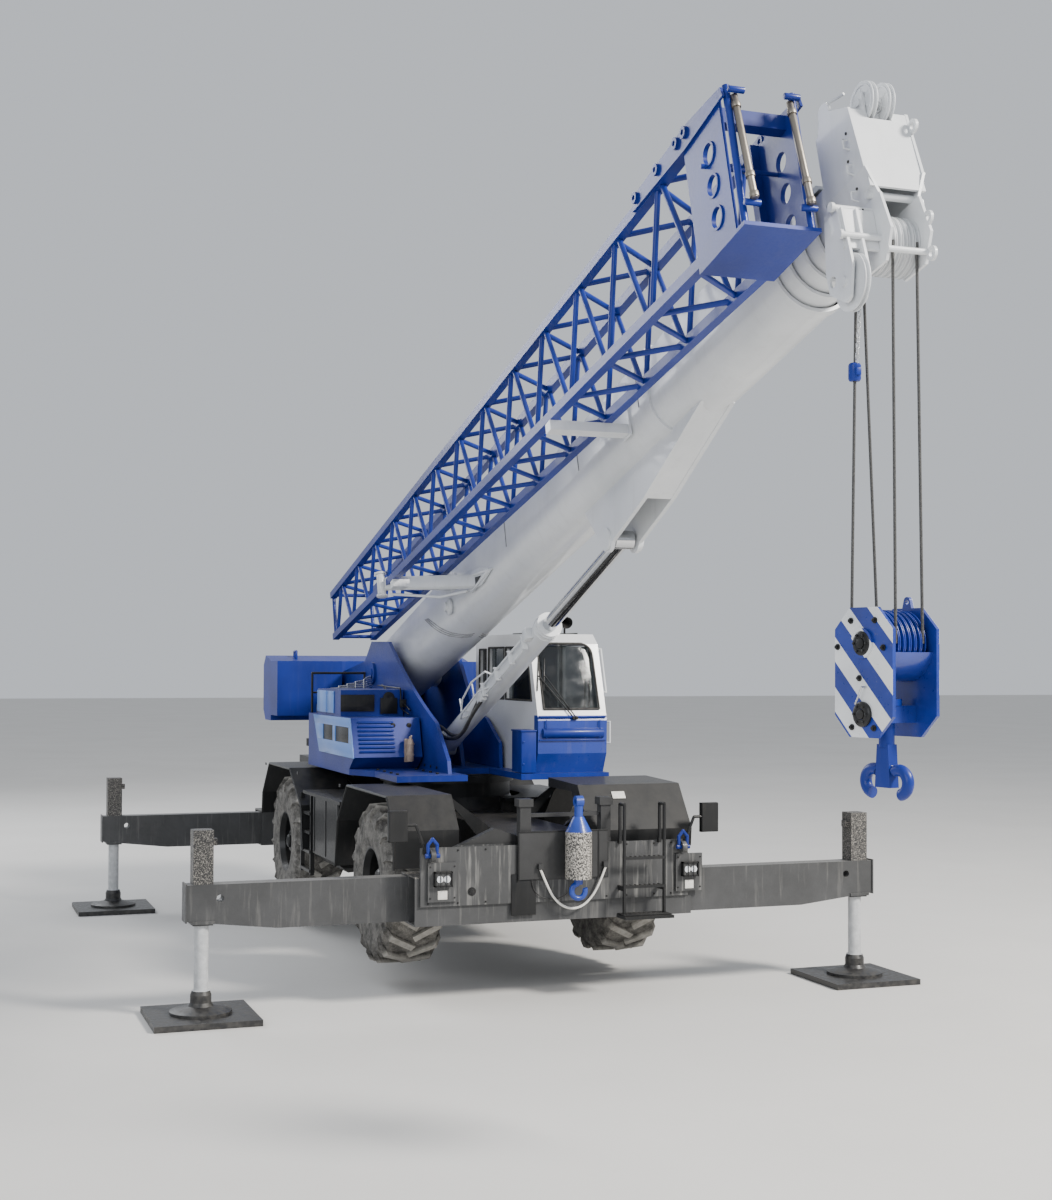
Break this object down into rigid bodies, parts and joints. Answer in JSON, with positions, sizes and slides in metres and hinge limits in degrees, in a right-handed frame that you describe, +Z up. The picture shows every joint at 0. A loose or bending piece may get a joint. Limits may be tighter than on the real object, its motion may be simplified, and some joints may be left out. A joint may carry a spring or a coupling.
{
  "type": "mobile crane",
  "caption": "Rough-terrain mobile crane on outriggers, telescopic boom raised over the front, lattice jib stowed beside it, hook block hanging.",
  "frame": {"origin": "on the ground under the centre of the slewing ring", "axes": "+X forward along the machine and the boom, +Y to its left, +Z up"},
  "size_m": [15.687, 8.35, 7.7031],
  "materials": {
    "black_paint": "satin enamel, dusty",
    "blue_paint": "gloss enamel with dust",
    "cab_glazing": "tinted",
    "chrome_rod": "polished",
    "engine_iron": "oily",
    "grey_paint": "worn satin enamel with dry dust runs",
    "rope_steel": "greased wire",
    "seat_cloth": "woven",
    "tyre_rubber": "pale dust over rubber",
    "white_paint": "gloss enamel with dust",
    "white_rope": "braided"
  },
  "bodies": {
    "carrier": {"carrier_frame": "black_paint", "outrigger_housing_front": "grey_paint", "outrigger_housing_rear": "grey_paint", "axle_housings": "black_paint", "deck_fenders": "black_paint", "side_tanks": "black_paint", "front_hood": "black_paint", "engine_hood": "black_paint", "engine_block": "engine_iron", "front_bumper": "black_paint", "front_steps": "black_paint", "mirrors": "black_paint", "auxiliary_hook": "black_paint", "tow_rope": "white_rope"},
    "knuckle_front_right": {"knuckle_front_right": "black_paint"},
    "wheel_front_right": {"rim_front_right": "black_paint", "tyre_front_right": "tyre_rubber"},
    "beam_front_right": {"outrigger_beam_front_right": "grey_paint"},
    "jack_front_right": {"jack_foot_front_right": "grey_paint"},
    "knuckle_front_left": {"knuckle_front_left": "black_paint"},
    "wheel_front_left": {"rim_front_left": "black_paint", "tyre_front_left": "tyre_rubber"},
    "beam_front_left": {"outrigger_beam_front_left": "grey_paint"},
    "jack_front_left": {"jack_foot_front_left": "grey_paint"},
    "knuckle_rear_right": {"knuckle_rear_right": "black_paint"},
    "wheel_rear_right": {"rim_rear_right": "black_paint", "tyre_rear_right": "tyre_rubber"},
    "beam_rear_right": {"outrigger_beam_rear_right": "grey_paint"},
    "jack_rear_right": {"jack_foot_rear_right": "grey_paint"},
    "knuckle_rear_left": {"knuckle_rear_left": "black_paint"},
    "wheel_rear_left": {"rim_rear_left": "black_paint", "tyre_rear_left": "tyre_rubber"},
    "beam_rear_left": {"outrigger_beam_rear_left": "grey_paint"},
    "jack_rear_left": {"jack_foot_rear_left": "grey_paint"},
    "superstructure": {"turntable": "blue_paint", "counterweight": "blue_paint", "side_housings": "blue_paint", "winches": "black_paint", "cab_shell": "white_paint", "cab_glass": "cab_glazing", "cab_seat": "seat_cloth"},
    "cab_door": {"cab_door": "blue_paint"},
    "boom_base": {"boom_base": "white_paint", "jib_lattice": "blue_paint", "jib_supports": "white_paint"},
    "boom_section_2": {"boom_section_2": "white_paint"},
    "boom_section_3": {"boom_section_3": "white_paint"},
    "boom_section_4": {"boom_section_4": "white_paint"},
    "boom_section_5": {"boom_section_5": "white_paint", "boom_head": "white_paint", "head_sheaves": "white_paint"},
    "lift_barrel": {"lift_barrel": "white_paint"},
    "lift_rod": {"lift_rod": "chrome_rod"},
    "hook_block": {"hook_block": "blue_paint", "hoist_ropes": "rope_steel"},
    "double_hook": {"double_hook": "blue_paint"}
  },
  "joints": [
    {"name": "slewing", "type": "hinge", "parent": "carrier", "child": "superstructure", "pos_m": [0, 0, 2.18], "axis": [0, 0, 1], "continuous": true},
    {"name": "boom_lift", "type": "hinge", "parent": "superstructure", "child": "boom_base", "pos_m": [-1.8, 0, 3.4], "axis": [0, -1, 0], "range_deg": [-16, 56]},
    {"name": "barrel_tilt", "type": "hinge", "parent": "superstructure", "child": "lift_barrel", "pos_m": [-0.05, 0, 2.49], "axis": [0, -1, 0], "range_deg": [-17.13, 59.93]},
    {"name": "rod_slide", "type": "slide", "parent": "lift_barrel", "child": "lift_rod", "axis": [0.9297, 0, 0.3684], "range_m": [-0.497, 1.737]},
    {"name": "extend_section_2", "type": "slide", "parent": "boom_base", "child": "boom_section_2", "axis": [0.9613, 0, 0.2756], "range_m": [0, 8.3]},
    {"name": "extend_section_3", "type": "slide", "parent": "boom_section_2", "child": "boom_section_3", "axis": [0.9613, 0, 0.2756], "range_m": [0, 8.3]},
    {"name": "extend_section_4", "type": "slide", "parent": "boom_section_3", "child": "boom_section_4", "axis": [0.9613, 0, 0.2756], "range_m": [0, 8.3]},
    {"name": "extend_section_5", "type": "slide", "parent": "boom_section_4", "child": "boom_section_5", "axis": [0.9613, 0, 0.2756], "range_m": [0, 8.3]},
    {"name": "block_hang", "type": "hinge", "parent": "boom_section_5", "child": "hook_block", "pos_m": [10.28892, 0, 6.48153], "axis": [0, -1, 0], "range_deg": [-56.01, 16.01]},
    {"name": "hook_swivel", "type": "hinge", "parent": "hook_block", "child": "double_hook", "pos_m": [10.28892, 0, 3.05153], "axis": [0, 0, 1], "continuous": true},
    {"name": "door_slide", "type": "slide", "parent": "superstructure", "child": "cab_door", "axis": [-1, 0, 0], "range_m": [0, 0.76]},
    {"name": "steer_front_right", "type": "hinge", "parent": "carrier", "child": "knuckle_front_right", "pos_m": [2.29, -0.935, 1.11], "axis": [0, 0, 1], "range_deg": [-25, 25]},
    {"name": "spin_front_right", "type": "hinge", "parent": "knuckle_front_right", "child": "wheel_front_right", "pos_m": [2.29, -1.28, 1.11], "axis": [0, 1, 0], "continuous": true},
    {"name": "steer_front_left", "type": "hinge", "parent": "carrier", "child": "knuckle_front_left", "pos_m": [2.29, 0.935, 1.11], "axis": [0, 0, 1], "range_deg": [-25, 25]},
    {"name": "spin_front_left", "type": "hinge", "parent": "knuckle_front_left", "child": "wheel_front_left", "pos_m": [2.29, 1.28, 1.11], "axis": [0, 1, 0], "continuous": true},
    {"name": "steer_rear_right", "type": "hinge", "parent": "carrier", "child": "knuckle_rear_right", "pos_m": [-2.29, -0.935, 1.11], "axis": [0, 0, 1], "range_deg": [-25, 25]},
    {"name": "spin_rear_right", "type": "hinge", "parent": "knuckle_rear_right", "child": "wheel_rear_right", "pos_m": [-2.29, -1.28, 1.11], "axis": [0, 1, 0], "continuous": true},
    {"name": "steer_rear_left", "type": "hinge", "parent": "carrier", "child": "knuckle_rear_left", "pos_m": [-2.29, 0.935, 1.11], "axis": [0, 0, 1], "range_deg": [-25, 25]},
    {"name": "spin_rear_left", "type": "hinge", "parent": "knuckle_rear_left", "child": "wheel_rear_left", "pos_m": [-2.29, 1.28, 1.11], "axis": [0, 1, 0], "continuous": true},
    {"name": "beam_slide_front_right", "type": "slide", "parent": "carrier", "child": "beam_front_right", "axis": [0, 1, 0], "range_m": [0, 1.85]},
    {"name": "jack_lift_front_right", "type": "slide", "parent": "beam_front_right", "child": "jack_front_right", "axis": [0, 0, 1], "range_m": [-0.2, 0.3]},
    {"name": "beam_slide_front_left", "type": "slide", "parent": "carrier", "child": "beam_front_left", "axis": [0, -1, 0], "range_m": [0, 1.85]},
    {"name": "jack_lift_front_left", "type": "slide", "parent": "beam_front_left", "child": "jack_front_left", "axis": [0, 0, 1], "range_m": [-0.2, 0.3]},
    {"name": "beam_slide_rear_right", "type": "slide", "parent": "carrier", "child": "beam_rear_right", "axis": [0, 1, 0], "range_m": [0, 1.85]},
    {"name": "jack_lift_rear_right", "type": "slide", "parent": "beam_rear_right", "child": "jack_rear_right", "axis": [0, 0, 1], "range_m": [-0.2, 0.3]},
    {"name": "beam_slide_rear_left", "type": "slide", "parent": "carrier", "child": "beam_rear_left", "axis": [0, -1, 0], "range_m": [0, 1.85]},
    {"name": "jack_lift_rear_left", "type": "slide", "parent": "beam_rear_left", "child": "jack_rear_left", "axis": [0, 0, 1], "range_m": [-0.2, 0.3]}
  ],
  "couplings": [
    {"joint": "barrel_tilt", "follows": "boom_lift", "ratio": 1.07},
    {"joint": "rod_slide", "follows": "boom_lift", "m_per_rad": 1.7762},
    {"joint": "extend_section_3", "follows": "extend_section_2", "ratio": 1},
    {"joint": "extend_section_4", "follows": "extend_section_2", "ratio": 1},
    {"joint": "extend_section_5", "follows": "extend_section_2", "ratio": 1},
    {"joint": "block_hang", "follows": "boom_lift", "ratio": -1},
    {"joint": "steer_front_left", "follows": "steer_front_right", "ratio": 1},
    {"joint": "steer_rear_left", "follows": "steer_rear_right", "ratio": 1}
  ]
}
